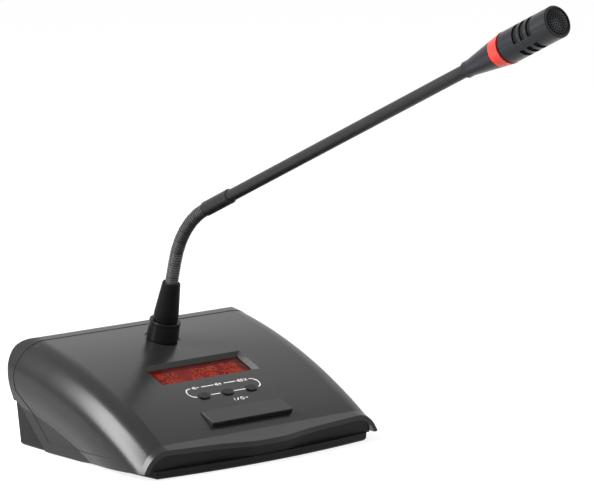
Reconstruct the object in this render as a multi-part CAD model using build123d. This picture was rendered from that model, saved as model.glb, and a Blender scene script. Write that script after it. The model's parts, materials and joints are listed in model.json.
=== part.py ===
from build123d import *
import math
import os

# A conference delegate unit: a wedge-shaped desk base with a red display, three keys and a wide
# speak bar, and a microphone on a short gooseneck and a long straight tube.
# Millimetres. X runs to the user's right, the user sits on the -Y side, Z is up.
# The origin is the middle of the flat underside, on the desk.

# Top surface: one arc in the side view, from the rear crest down to the crease before the lip
crest_y = 59.5
crest_z = 66.4
crease_y = -61.0
crease_z = 19.05
top_radius = 320.0
# Cross-section of the case: a flat top that rolls over at each side and tucks in below
flat_half = 74.2
roll_radius = 19.1
tuck_radius = 40.0
tuck_angle = 20.0
facet_half = 88.2
section_depth = 75.0
shell_wall = 2.5
# Lip and rim of the top shell. The lip's front has a soft peak: shares of its half and its bow
lip_angle = 23.0
lip_reach = 16.0
lip_side_y = -63.9
lip_bow = 7.6
lip_across_shares = (0.122, 0.305, 0.509, 0.743)
lip_bow_shares = (0.96, 0.67, 0.46, 0.26)
rim_rise = 0.25
rim_width = 6.5
rim_knee_y = 60.0
rim_knee_z = 45.0
rim_lean = 17.0
rear_round = 6.5
rear_y = 65.5
tip_z = 5.0
skirt_z = 1.3
skirt_mid_y = 0.0
diagonal_y = 35.0
diagonal_angle = 45.0
shell_rear_z = 28.5
# Gaps and overruns
seam_gap = 0.3
run_gap = 0.3
pin_gap = 0.05
play = 0.1
over = 5.0

# Bottom housing
foot_proud = 0.5
floor_wall = 2.8
side_wall = 2.2
plinth_front_half = 82.0
plinth_mid_half = 85.4
plinth_rear_half = 84.4
plinth_mid_y = 5.0
plinth_front_y = -64.3
plinth_bow = 6.0
plinth_rear_y = 64.9
plinth_flare = 3.2
plinth_edge = 1.2
plinth_edge_inset = 0.8
sill_top_z = 5.3
front_wall_y = -61.0
front_wall_bow = 4.5
infill_half = 86.0
infill_low_z = 5.0
infill_high_z = 18.0
infill_low_inset = 2.1
infill_high_inset = -0.7
infill_deep = 6.0
foot_radius = 6.0
foot_thick = 1.8
foot_x = 68.0
foot_front_y = -50.0
foot_back_y = 54.0

# Case screws, driven from below into bosses of the top shell
boss_x = 62.0
boss_front_y = -36.0
boss_back_y = 44.0
boss_radius = 4.0
boss_bottom_z = 9.3
post_radius = 5.0
screw_radius = 1.5
screw_head_radius = 2.8
screw_head_height = 1.8
screw_seat_z = 5.0
case_screw_length = 16.0
socket_recess_radius = 1.1
socket_recess_depth = 1.0

# Ballast plate, screwed to the floor
ballast_gap = 1.0
ballast_depth = 46.0
ballast_thick = 7.5
ballast_y = -33.0
ballast_corner = 4.0
ballast_screw_inset_x = 6.0
ballast_screw_inset_y = 5.0
ballast_screw_grip = 1.6

# Main board on pillars
board_thick = 1.6
main_length = 104.0
main_depth = 60.0
main_y = 27.0
main_z = 6.4
pillar_radius = 2.8
pillar_inset_x = 5.0
pillar_inset_y = 4.0
board_screw_radius = 1.1
board_screw_head = 2.1
board_screw_head_height = 1.3
board_screw_length = 4.2
chip_size = 14.0
chip_thick = 1.6
chip_x = -12.0
chip_y = 14.0
driver_size = 9.0
driver_x = 12.0
driver_y = 10.0
capacitor_radius = 4.0
capacitor_height = 11.0
capacitor_pitch = 10.5
capacitor_count = 3
capacitor_x = 28.0
capacitor_y = 24.0
header_length = 20.0
header_depth = 6.0
header_height = 5.0
header_y = 2.0

# Rear panel and its sockets
panel_length = 92.0
panel_height = 20.0
panel_thick = 1.2
panel_z = 5.6
panel_corner = 2.0
panel_frame = 3.0
panel_screw_inset = 2.5
panel_screw_length = 4.0
panel_pad_radius = 3.0
panel_pad_depth = 3.0
link_inset = 19.0
link_radius = 7.0
link_wall = 0.9
link_flange_radius = 8.6
link_flange_thick = 1.4
link_body_length = 13.0
link_mouth_depth = 5.0
link_pin_radius = 0.5
link_pin_circle = 3.4
link_pin_count = 8
link_pin_length = 4.0
jack_bore_radius = 1.85
jack_nose_radius = 3.4
jack_nose_length = 2.0
jack_body_length = 12.0
jack_body_width = 9.0
jack_bore_depth = 13.0

# Display, seen through a tapered recess in the top shell
display_y = -5.7
window_length = 72.0
window_depth = 17.2
recess_taper = 2.3
recess_drop = 3.0
window_lap = 2.0
window_thick = 1.0
ledge_wall = 2.0
view_length = 64.5
view_depth = 14.2
glass_length = 71.0
glass_depth = 24.0
glass_thick = 2.2
light_thick = 3.0
frame_wall = 0.6
frame_play = 0.2
display_board_length = 86.0
display_board_depth = 34.0
display_screw_inset = 3.0
display_boss_radius = 2.4
display_screw_length = 6.0

# Keys and speak bar, on one control board square to the top surface between them
control_y = -42.0
key_up = 12.6
key_pitch = 18.3
key_length = 7.4
key_width = 5.2
key_proud = 0.8
key_gap = 0.3
key_lap = 0.8
key_edge = 0.3
flange_drop = 3.1
flange_thick = 0.8
stem_radius = 1.2
bar_up = -7.5
bar_length = 62.5
bar_width = 13.4
bar_front_proud = 2.9
bar_rear_proud = 0.9
bar_travel = 1.2
bar_corner = 1.2
bar_gap = 0.35
bar_lap = 1.2
bar_edge = 0.4
plunger_top = -5.4
plunger_radius = 1.5
plunger_proud = 1.3
plunger_hidden = 0.5
switch_size = 6.0
switch_height = 2.6
control_length = 64.0
control_depth = 29.5
control_board_up = 2.0
control_screw_inset = 3.5
control_screw_up = 5.6
control_boss_radius = 2.3
control_screw_length = 5.0

# Microphone socket, plug and lock collar, all on the microphone's own axis
mic_y = 32.0
mic_lean = 14.5
well_radius = 11.2
well_depth = 0.6
socket_nose_radius = 6.5
socket_nose_top = 7.0
socket_barrel_radius = 8.3
socket_barrel_top = -0.3
socket_flange_radius = 12.5
socket_flange_top = -5.0
socket_flange_thick = 2.0
socket_bottom = -24.0
socket_bore_radius = 5.4
socket_floor = -20.0
socket_boss_radius = 14.5
socket_screw_x = 10.4
socket_screw_length = 4.2
contact_radius = 1.6
contact_length = 6.0
contact_circle = 2.8
contact_count = 3
insert_length = 6.5
plug_radius = 5.1
plug_bore_radius = 4.3
plug_bottom = -12.0
plug_block_bottom = -1.0
plug_block_top = 7.0
pin_radius = 1.0
pin_tip = -17.5
collar_bottom = 0.1
collar_top = 12.3
collar_radius = 9.9
collar_waist_radius = 9.5
collar_lip_radius = 9.75
collar_lip_height = 2.0
collar_edge = 0.4
collar_bore_radius = 7.0
collar_roof = 1.6
plug_flange_radius = 6.7
plug_flange_bottom = 7.3
plug_flange_top = 10.2
plug_neck_radius = 5.8
plug_stub_radius = 5.0
plug_stub_top = 20.0
boot_bottom = 12.6
boot_radius = 7.7
boot_shoulder = 4.0
boot_top = 37.5
boot_top_radius = 5.6
boot_edge = 0.6
boot_mouth_radius = 4.7
boot_mouth_depth = 2.0

# Gooseneck: ribbed links, each with a ball below and a cup above, set round one bend
neck_radius = 4.05
neck_core_radius = 3.35
rib_pitch = 1.62
rib_width = 0.9
joint_count = 8
first_joint = 4.0
neck_straight = 13.8
bend_radius = 55.0
arm_lean = 65.0
joint_gap = 0.9
ball_radius = 3.0
neck_seat = 15.0

# Arm and head, along the arm's own axis from the last joint
ferrule_radius = 4.6
ferrule_length = 26.0
ferrule_edge = 0.7
tube_start = 6.0
tube_radius = 3.75
tube_bore_radius = 3.0
arm_length = 252.8
cone_length = 28.2
cone_foot_radius = 4.9
cone_foot_length = 4.0
cone_end_radius = 8.4
tube_in_cone = 5.0
ring_length = 8.2
ring_end_radius = 9.5
ring_wall = 1.5
lamp_board_thick = 1.2
lamp_count = 6
lamp_size = 2.0
lamp_circle = 4.7
lamp_height = 1.2
spine_radius = 3.0
spine_bore_radius = 2.1
spine_lap = 3.0
groove_length = 1.2
groove_radius = 8.2
head_length = 42.2
head_radius = 9.35
head_wall = 0.8
head_edge = 0.5
head_floor = 2.0
slot_width = 3.4
slot_pitch = 6.0
slot_middle = 21.4
slot_count = 3
slot_arcs = 3
slot_angle = 90.0
slot_turn = -15.0
capsule_radius = 7.0
capsule_length = 8.0
holder_radius = 8.5
holder_length = 5.0
holder_from_face = 12.0
foam_from_face = 5.4
foam_length = 2.6
grille_thick = 0.5
grille_crown = 1.6
grille_rim = 0.4
grille_hole_radius = 0.5
grille_ring_pitch = 1.42
grille_rings = 5
bezel_lip = 0.3
bezel_depth = 0.4

os.makedirs("parts", exist_ok=True)


def write(name, *shapes):
    """One named piece, as one or more separate solids."""
    solids = [solid for shape in shapes for solid in shape.solids()]
    whole = solids[0] if len(solids) == 1 else Compound(children=solids)
    whole.label = name
    export_step(whole, f"parts/{name}.step")


def box(length, depth, low, high, x=0.0, y=0.0):
    """A block between two heights."""
    return Pos(x, y, (low + high) / 2) * Box(length, depth, high - low)


def rod(radius, low, high, x=0.0, y=0.0):
    """An upright cylinder between two heights."""
    return Pos(x, y, (low + high) / 2) * Cylinder(radius, high - low)


def pad(length, depth, corner, low, high, x=0.0, y=0.0):
    """A block with rounded upright corners."""
    return Pos(x, y, low) * extrude(RectangleRounded(length, depth, corner), high - low)


def turned(points):
    """A solid turned about the Z axis from (radius, height) points."""
    outline = Polyline(*[(radius, 0, height) for radius, height in points], close=True)
    return revolve(make_face(outline), Axis.Z)


def corners(x, y, y_mid=0.0):
    """Four places, one in each corner."""
    return [(sx * x, y_mid + sy * y) for sx in (-1, 1) for sy in (-1, 1)]


def screw(radius, head_radius, head_height, length):
    """A cap screw with its shank down from zero and a hexagon socket in its head."""
    body = rod(radius, -length, 0) + rod(head_radius, 0, head_height)
    recess = extrude(RegularPolygon(socket_recess_radius, 6), socket_recess_depth)
    return body - Pos(0, 0, head_height - socket_recess_depth) * recess


# Rough extents that only have to pass the case
wide_half = facet_half + roll_radius
tall = crest_z + roll_radius

# Side-view arc of the top
chord_angle = math.atan2(crest_z - crease_z, crest_y - crease_y)
chord_half = math.hypot(crest_z - crease_z, crest_y - crease_y) / 2
chord_drop = math.sqrt(top_radius ** 2 - chord_half ** 2)
arc_y = (crest_y + crease_y) / 2 + chord_drop * math.sin(chord_angle)
arc_z = (crest_z + crease_z) / 2 - chord_drop * math.cos(chord_angle)


def slope_at(y):
    """Slope of the top surface, in degrees."""
    return math.degrees(math.asin((arc_y - y) / top_radius))


def top_at(y):
    """Height of the top surface."""
    return arc_z + math.sqrt(top_radius ** 2 - (arc_y - y) ** 2)


def station(y):
    """A plane on the top surface, its Z along the outward normal and its Y up the slope."""
    angle = math.radians(slope_at(y))
    normal = (0, -math.sin(angle), math.cos(angle))
    return Location(Plane(origin=(0, y, top_at(y)), x_dir=(1, 0, 0), z_dir=normal))


def case_form(grow):
    """The solid block of the case's outer shape, grown or shrunk by a wall, with no ends cut."""
    roll_z = top_radius - roll_radius
    low_z = top_radius - section_depth
    tuck = tuck_radius + grow
    tuck_x = flat_half + roll_radius - tuck_radius
    lean = math.radians(tuck_angle)
    line_x = tuck_x + tuck * math.cos(lean)
    line_z = roll_z - tuck * math.sin(lean)
    facet = facet_half + grow
    facet_z = line_z - (line_x - facet) / math.tan(lean)
    top_z = top_radius + grow
    roll = CenterArc((flat_half, roll_z), roll_radius + grow, 0, 90)
    under = CenterArc((tuck_x, roll_z), tuck, -tuck_angle, tuck_angle)
    outline = [
        Line((0, low_z), (0, top_z)),
        Line((0, top_z), (flat_half, top_z)),
        roll,
        under,
        Line((line_x, line_z), (facet, facet_z)),
        Line((facet, facet_z), (facet, low_z)),
        Line((facet, low_z), (0, low_z)),
    ]
    half = make_face(outline)
    turn_axis = Axis((0, arc_y, arc_z), (1, 0, 0))
    start = math.degrees(math.asin((arc_y - rear_y - over) / top_radius))
    end = math.degrees(math.asin((arc_y - crease_y) / low_z))
    upright = Location(Plane(origin=(0, arc_y, arc_z), x_dir=(1, 0, 0), z_dir=(0, -1, 0)))
    face = (upright * half).rotate(turn_axis, start)
    side = revolve(face, turn_axis, end - start)
    body = side + mirror(side, Plane.YZ)
    span = wide_half * 2
    keep = Pos(0, crease_y + span / 2, 0) * Box(span, span, section_depth * 2)
    main = body & keep
    cut = Plane(origin=(0, crease_y, 0), x_dir=(1, 0, 0), z_dir=(0, -1, 0))
    face_at_crease = section(body, section_by=cut)
    angle = math.radians(lip_angle)
    lip = extrude(face_at_crease, lip_reach, dir=(0, -math.cos(angle), -math.sin(angle)))
    return main + lip


def side_prism(points, half):
    """A prism across the case from (y, z) points."""
    outline = Polyline(*[(0, y, z) for y, z in points], close=True)
    return extrude(make_face(outline), half, dir=(1, 0, 0), both=True)


def bowed(half, front_y, bow, back_y):
    """A plan outline with straight sides and a front that bows to a soft peak."""
    right = [(half, front_y)]
    left = [(-half, front_y)]
    for across, out in zip(reversed(lip_across_shares), reversed(lip_bow_shares)):
        right.append((half * across, front_y - bow * out))
        left.append((-half * across, front_y - bow * out))
    front = Spline(*left, (0, front_y - bow), *reversed(right))
    rest = Polyline((half, front_y), (half, back_y), (-half, back_y), (-half, front_y))
    return make_face([front, rest])


def behind_round(radius):
    """What lies outside the rounding of the rear top edge, at a radius about the same centre."""
    mid_y = rear_y - rear_round
    reach = top_radius + rim_rise - rear_round
    mid_z = arc_z + math.sqrt(reach ** 2 - (arc_y - mid_y) ** 2)
    start = math.asin((arc_y - mid_y) / reach)
    wedge = side_prism(
        [
            (mid_y, mid_z),
            (mid_y - tall * math.sin(start), mid_z + tall * math.cos(start)),
            (mid_y + tall, mid_z + tall),
            (mid_y + tall, mid_z),
        ],
        wide_half,
    )
    core = Pos(0, mid_y, mid_z) * Rot(0, 90, 0) * Cylinder(radius, 4 * wide_half)
    return wedge - core


form_outer = case_form(0.0)
form_rim = case_form(rim_rise)
form_inner = case_form(-shell_wall)
form_seat = case_form(-shell_wall - seam_gap)

# Stations: the display, the controls and the microphone each have a plane of their own
at_display = station(display_y)
at_controls = station(control_y)
lean = math.radians(mic_lean)
mic_axis = (0, -math.sin(lean), math.cos(lean))
at_mic = Location(Plane(origin=(0, mic_y, top_at(mic_y)), x_dir=(1, 0, 0), z_dir=mic_axis))

switch_top = plunger_top - plunger_proud
control_top = switch_top - switch_height
control_bottom = control_top - board_thick
window_bottom = -recess_drop - window_thick
glass_top = window_bottom - frame_wall
light_top = glass_top - glass_thick
light_bottom = light_top - light_thick
display_bottom = light_bottom - board_thick
floor_z = foot_proud + floor_wall
main_top = main_z + board_thick

display_screw_x = display_board_length / 2 - display_screw_inset
display_screw_y = display_board_depth / 2 - display_screw_inset
control_screw_x = control_length / 2 - control_screw_inset
panel_screw_x = panel_length / 2 - panel_screw_inset
link_x = panel_length / 2 - link_inset
case_corners = [(sx * boss_x, y) for sx in (-1, 1) for y in (boss_front_y, boss_back_y)]
key_places = [(step * key_pitch, key_up) for step in (-1, 0, 1)]

# Top shell
rear_rise_y = diagonal_y + (shell_rear_z - skirt_z) / math.tan(math.radians(diagonal_angle))
front_end = lip_side_y - lip_bow - over
back_end = rear_y + over


def cover(drop):
    """What lies above the lower edge of the shell's skirt, or above a line parallel to it."""
    return side_prism(
        [
            (front_end, tip_z - drop),
            (lip_side_y, tip_z - drop),
            (skirt_mid_y, skirt_z - drop),
            (diagonal_y + drop, skirt_z - drop),
            (rear_rise_y + drop, shell_rear_z - drop),
            (back_end, shell_rear_z - drop),
            (back_end, tall),
            (front_end, tall),
        ],
        wide_half,
    )


rim_rise_y = diagonal_y - rim_width * math.tan(math.radians(diagonal_angle / 2))
rim_foot_z = skirt_z + rim_width + (rim_knee_y - rim_rise_y) * math.tan(math.radians(diagonal_angle))
field = side_prism(
    [
        (crease_y, tip_z + rim_width),
        (skirt_mid_y, skirt_z + rim_width),
        (rim_rise_y, skirt_z + rim_width),
        (rim_knee_y, rim_foot_z),
        (rim_knee_y, rim_knee_z),
        (rim_knee_y - (tall - rim_knee_z) * math.tan(math.radians(rim_lean)), tall),
        (crease_y, tall),
    ],
    wide_half,
)
rim_half = flat_half + roll_radius + over
shell_plan = extrude(bowed(rim_half, lip_side_y, lip_bow, rear_y), tall)
outer = ((form_rim - field) + (form_outer & field)) & cover(0.0) & shell_plan
outer -= behind_round(rear_round)
room = Pos(0, rear_y - shell_wall - wide_half, 0) * Box(wide_half * 2, wide_half * 2, tall * 2)
hollow = (form_inner & room) - behind_round(rear_round - shell_wall)
top_shell = outer - hollow

# Ledge block and bosses inside the shell
ledge_length = window_length + 2 * window_lap + 2 * ledge_wall
ledge_depth = window_depth + 2 * window_lap + 2 * ledge_wall
inside = [at_display * box(ledge_length, ledge_depth, window_bottom, 0.0)]
for x, y in corners(display_screw_x, display_screw_y):
    inside.append(at_display * rod(display_boss_radius, light_bottom, 0.0, x, y))
for x in (-control_screw_x, control_screw_x):
    inside.append(at_controls * rod(control_boss_radius, control_top, 0.0, x, control_screw_up))
inside.append(at_mic * rod(socket_boss_radius, socket_flange_top, 0.0))
for x, y in case_corners:
    inside.append(rod(boss_radius, boss_bottom_z, tall, x, y))
for piece in inside:
    top_shell = top_shell + (piece & hollow)

# Openings of the shell
recess_grow = 2 * recess_taper * (over + recess_drop) / recess_drop
mouth_length = window_length + recess_grow
mouth_depth = window_depth + recess_grow
mouth = Pos(0, 0, over) * Rectangle(mouth_length, mouth_depth)
throat = Pos(0, 0, -recess_drop) * Rectangle(window_length, window_depth)
recess = loft([throat.face(), mouth.face()], ruled=True)
pocket_length = window_length + 2 * window_lap
pocket_depth = window_depth + 2 * window_lap
top_shell -= at_display * recess
top_shell -= at_display * box(pocket_length, pocket_depth, window_bottom - over, -recess_drop)
for x, y in corners(display_screw_x, display_screw_y):
    deep = display_bottom + display_screw_length
    hole = rod(board_screw_radius + pin_gap, light_bottom - over, deep, x, y)
    top_shell -= at_display * hole
for x, up in key_places:
    hole = SlotOverall(key_length + 2 * key_gap, key_width + 2 * key_gap)
    top_shell -= at_controls * Pos(x, up, -over) * extrude(hole, 2 * over)
top_shell -= at_controls * pad(
    bar_length + 2 * bar_gap, bar_width + 2 * bar_gap, bar_corner + bar_gap, -over, over, 0.0, bar_up
)
for x in (-control_screw_x, control_screw_x):
    hole = rod(
        board_screw_radius + pin_gap,
        control_top - over,
        control_bottom + control_screw_length,
        x,
        control_screw_up,
    )
    top_shell -= at_controls * hole
top_shell -= at_mic * rod(socket_barrel_radius + run_gap, socket_flange_top - over, over)
top_shell -= at_mic * rod(well_radius, -well_depth, over)
for x in (-socket_screw_x, socket_screw_x):
    low = socket_flange_top - socket_flange_thick
    hole = rod(board_screw_radius + pin_gap, low, low + socket_screw_length, x)
    top_shell -= at_mic * hole
for x, y in case_corners:
    hole = rod(screw_radius + pin_gap, boss_bottom_z, screw_seat_z + case_screw_length, x, y)
    top_shell -= hole
write("top_shell", top_shell)

# Bottom housing: a tray with bowed front and sides, and an infill that closes the arch of the lip


def plan_face(front_half, mid_half, rear_half, front_y, bow, back_y):
    """A plan outline with a bowed front and bowed sides."""
    front = ThreePointArc((-front_half, front_y), (0, front_y - bow), (front_half, front_y))
    right = ThreePointArc((front_half, front_y), (mid_half, plinth_mid_y), (rear_half, back_y))
    back = Line((rear_half, back_y), (-rear_half, back_y))
    left = ThreePointArc((-rear_half, back_y), (-mid_half, plinth_mid_y), (-front_half, front_y))
    return make_face([front, right, back, left])


housing_top = shell_rear_z - seam_gap


def plinth(sections, front_y, bow):
    """The plinth's block through (height, inset) sections, with its sides flared."""
    faces = []
    for height, inset in sections:
        grow = plinth_flare * (height - foot_proud) / (housing_top - foot_proud) - inset
        face = plan_face(
            plinth_front_half + grow,
            plinth_mid_half + grow,
            plinth_rear_half + grow,
            front_y + inset,
            bow,
            plinth_rear_y - inset,
        )
        faces.append(Pos(0, 0, height) * face)
    return loft(faces, ruled=True)


block = plinth(
    [(foot_proud, plinth_edge_inset), (foot_proud + plinth_edge, 0.0), (housing_top, 0.0)],
    plinth_front_y,
    plinth_bow,
)
ahead = box(2 * wide_half, 2 * wide_half, sill_top_z, tall, 0.0, front_wall_y - wide_half + infill_deep)
wall_arc = ThreePointArc(
    (-wide_half, front_wall_y), (0, front_wall_y - front_wall_bow), (wide_half, front_wall_y)
)
wall_rest = Polyline(
    (wide_half, front_wall_y), (wide_half, crest_y), (-wide_half, crest_y), (-wide_half, front_wall_y)
)
block -= ahead - extrude(make_face([wall_arc, wall_rest]), tall)
infill_faces = []
for height, inset in ((infill_low_z, infill_low_inset), (infill_high_z, infill_high_inset)):
    face = bowed(rim_half, lip_side_y + inset, lip_bow, lip_side_y + infill_deep)
    infill_faces.append(Pos(0, 0, height) * face)
infill = loft(infill_faces, ruled=True) & form_seat & box(2 * infill_half, 4 * wide_half, 0.0, tall)
covered = cover(seam_gap)
seat_room = Pos(0, -shell_wall - seam_gap + rear_y - wide_half, 0) * Box(
    wide_half * 2, wide_half * 2, tall * 2
)
housing = (block - (covered - (form_seat & seat_room))) + infill
housing -= plinth([(floor_z, side_wall), (housing_top, side_wall)], front_wall_y, front_wall_bow)
# Panel recess, panel opening and the pads that hold the panel's screws
panel_mid_z = panel_z + panel_height / 2
for x in (-panel_screw_x, panel_screw_x):
    inward = Location((x, plinth_rear_y - side_wall, panel_mid_z), (90, 0, 0))
    housing += inward * rod(panel_pad_radius, 0.0, panel_pad_depth)
recess_box = Box(panel_length + 2 * play, 2 * panel_thick, panel_height + 2 * play)
housing -= Pos(0, plinth_rear_y, panel_mid_z) * recess_box
opening_box = Box(panel_length - 4 * panel_frame, over * 2, panel_height - 2 * panel_frame)
housing -= Pos(0, plinth_rear_y, panel_mid_z) * opening_box
for x in (-panel_screw_x, panel_screw_x):
    hole = Location((x, plinth_rear_y + over, panel_mid_z), (90, 0, 0))
    housing -= hole * rod(board_screw_radius + pin_gap, 0.0, over + panel_screw_length)
# Posts and wells for the case screws, holes for the ballast screws, pockets for the feet
for x, y in case_corners:
    housing += rod(post_radius, foot_proud, boss_bottom_z, x, y)
    housing -= rod(screw_head_radius + run_gap, 0.0, screw_seat_z, x, y)
    housing -= rod(screw_radius + run_gap, 0.0, boss_bottom_z + over, x, y)
pillar_x = main_length / 2 - pillar_inset_x
pillar_y = main_depth / 2 - pillar_inset_y
pillar_places = corners(pillar_x, pillar_y, main_y)
ballast_length = 2 * (boss_x - post_radius - ballast_gap)
ballast_screw_x = ballast_length / 2 - ballast_screw_inset_x
ballast_screw_y = ballast_depth / 2 - ballast_screw_inset_y
ballast_places = corners(ballast_screw_x, ballast_screw_y, ballast_y)
for x, y in ballast_places:
    housing -= rod(screw_radius + pin_gap, floor_z - ballast_screw_grip, floor_z + over, x, y)
foot_places = [(sx * foot_x, y) for sx in (-1, 1) for y in (foot_front_y, foot_back_y)]
for x, y in foot_places:
    housing -= rod(foot_radius + play, 0.0, foot_thick, x, y)
write("bottom_housing", housing)
write("feet", *[rod(foot_radius, 0.0, foot_thick, x, y) for x, y in foot_places])


def screw_up(length, radius, head_radius, head_height):
    """A screw with its head down, its seat at zero and its shank rising."""
    return Rot(180, 0, 0) * screw(radius, head_radius, head_height, length)


case_screw = screw_up(case_screw_length, screw_radius, screw_head_radius, screw_head_height)
write("case_screws", *[Pos(x, y, screw_seat_z) * case_screw for x, y in case_corners])

# Ballast
ballast_top = floor_z + ballast_thick
ballast = pad(ballast_length, ballast_depth, ballast_corner, floor_z, ballast_top, 0.0, ballast_y)
for x, y in ballast_places:
    ballast -= rod(screw_radius + run_gap, floor_z - over, ballast_top, x, y)
    ballast -= rod(screw_head_radius + run_gap, ballast_top - screw_head_height, ballast_top, x, y)
write("ballast_plate", ballast)
ballast_grip = ballast_thick - screw_head_height + ballast_screw_grip
ballast_screw = screw(screw_radius, screw_head_radius, screw_head_height, ballast_grip)
seat = ballast_top - screw_head_height
write("ballast_screws", *[Pos(x, y, seat) * ballast_screw for x, y in ballast_places])

# Main board, its pillars and what is soldered on it
board_screw = screw(
    board_screw_radius, board_screw_head, board_screw_head_height, board_screw_length
)
board_hole = board_screw_radius + run_gap
main_board = box(main_length, main_depth, main_z, main_top, 0.0, main_y)
pillars = []
for x, y in pillar_places:
    main_board -= rod(board_hole, main_z, main_top, x, y)
    pillar = rod(pillar_radius, floor_z, main_z, x, y)
    pillars.append(pillar - rod(board_screw_radius + pin_gap, floor_z, main_z, x, y))
write("main_board", main_board)
write("board_pillars", *pillars)
write("board_screws", *[Pos(x, y, main_top) * board_screw for x, y in pillar_places])
chips = [
    box(chip_size, chip_size, main_top, main_top + chip_thick, chip_x, chip_y),
    box(driver_size, driver_size, main_top, main_top + chip_thick, driver_x, driver_y),
    box(header_length, header_depth, main_top, main_top + header_height, 0.0, header_y),
]
write("board_chips", *chips)
capacitors = []
for step in range(capacitor_count):
    y = capacitor_y + step * capacitor_pitch - capacitor_pitch / 2
    capacitors.append(rod(capacitor_radius, main_top, main_top + capacitor_height, -capacitor_x, y))
write("board_capacitors", *capacitors)

# Rear panel and its sockets
panel_face = RectangleRounded(panel_length, panel_height, panel_corner)
panel = Rot(90, 0, 0) * extrude(panel_face, panel_thick)
panel = Pos(0, plinth_rear_y, panel_mid_z) * panel
behind = Location((0, plinth_rear_y, panel_mid_z), (90, 0, 0))
for x in (-link_x, link_x):
    panel -= behind * rod(link_radius + run_gap, -over, over, x)
panel -= behind * rod(jack_nose_radius + run_gap, -over, over)
for x in (-panel_screw_x, panel_screw_x):
    panel -= behind * rod(board_hole, -over, over, x)
write("rear_panel", panel)
panel_screw = Rot(180, 0, 0) * screw(
    board_screw_radius, board_screw_head, board_screw_head_height, panel_screw_length
)
write("panel_screws", *[behind * Pos(x, 0, 0) * panel_screw for x in (-panel_screw_x, panel_screw_x)])
shells = []
inserts = []
pins = []
for x in (-link_x, link_x):
    shell = rod(link_radius, 0.0, link_body_length, x)
    shell += rod(link_flange_radius, -link_flange_thick, 0.0, x)
    shell -= rod(link_radius - link_wall, -link_flange_thick, link_body_length, x)
    shells.append(behind * shell)
    insert = rod(link_radius - link_wall - pin_gap, link_mouth_depth, link_body_length, x)
    for step in range(link_pin_count):
        turn = 2 * math.pi * step / link_pin_count
        pin_x = x + link_pin_circle * math.cos(turn)
        pin_y = link_pin_circle * math.sin(turn)
        insert -= rod(link_pin_radius + pin_gap, 0.0, link_body_length, pin_x, pin_y)
        tip = link_mouth_depth - link_pin_length
        pins.append(behind * rod(link_pin_radius, tip, link_body_length, pin_x, pin_y))
    inserts.append(behind * insert)
write("link_socket_shells", *shells)
write("link_socket_inserts", *inserts)
write("link_socket_pins", *pins)
jack = rod(jack_nose_radius, -jack_nose_length, panel_thick)
jack += box(jack_body_width, jack_body_width, panel_thick, panel_thick + jack_body_length)
jack -= rod(jack_bore_radius, -jack_nose_length, jack_bore_depth - jack_nose_length)
write("earphone_jack", behind * jack)

# Display module, from the red window down to its board
window = box(
    pocket_length - 2 * play, pocket_depth - 2 * play, window_bottom, -recess_drop
)
write("display_window", at_display * window)
frame_length = glass_length + 2 * (frame_play + frame_wall)
frame_depth = glass_depth + 2 * (frame_play + frame_wall)
frame = box(frame_length, frame_depth, light_bottom, window_bottom)
frame -= box(glass_length + 2 * frame_play, glass_depth + 2 * frame_play, light_bottom, glass_top)
frame -= box(view_length, view_depth, glass_top, window_bottom)
write("display_frame", at_display * frame)
write("display_glass", at_display * box(glass_length, glass_depth, light_top, glass_top))
write("display_backlight", at_display * box(glass_length, glass_depth, light_bottom, light_top))
display_board = box(display_board_length, display_board_depth, display_bottom, light_bottom)
display_places = corners(display_screw_x, display_screw_y)
for x, y in display_places:
    display_board -= rod(board_hole, display_bottom, light_bottom, x, y)
write("display_board", at_display * display_board)
display_screw = screw_up(
    display_screw_length - play, board_screw_radius, board_screw_head, board_screw_head_height
)
write(
    "display_screws",
    *[at_display * Pos(x, y, display_bottom) * display_screw for x, y in display_places],
)

# Control board with its four tact switches
control_board = box(
    control_length, control_depth, control_bottom, control_top, 0.0, control_board_up
)
control_places = [(-control_screw_x, control_screw_up), (control_screw_x, control_screw_up)]
for x, y in control_places:
    control_board -= rod(board_hole, control_bottom, control_top, x, y)
write("control_board", at_controls * control_board)
control_screw = screw_up(
    control_screw_length - play, board_screw_radius, board_screw_head, board_screw_head_height
)
write(
    "control_screws",
    *[at_controls * Pos(x, y, control_bottom) * control_screw for x, y in control_places],
)
switch_places = key_places + [(0.0, bar_up)]
switches = []
well_bottom = switch_top - plunger_hidden - bar_travel - play
for x, y in switch_places:
    switch = box(switch_size, switch_size, control_top, switch_top, x, y)
    switch -= rod(plunger_radius + pin_gap, well_bottom, switch_top, x, y)
    switches.append(at_controls * switch)
write("control_switches", *switches)

# Three keys, each an oval cap with a flange under the shell, a stem and the plunger it presses
for name, (x, up) in zip(("left_key", "middle_key", "right_key"), key_places):
    cap = extrude(SlotOverall(key_length, key_width), key_proud + flange_drop)
    cap = chamfer(cap.faces().sort_by(Axis.Z)[-1].edges(), key_edge)
    flange = extrude(SlotOverall(key_length + 2 * key_lap, key_width + 2 * key_lap), -flange_thick)
    key = Pos(x, up, -flange_drop) * (cap + flange)
    key += rod(stem_radius, plunger_top, -flange_drop, x, up)
    plunger = rod(plunger_radius, switch_top - plunger_hidden, plunger_top, x, up)
    write(name, at_controls * key, at_controls * plunger)

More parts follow.
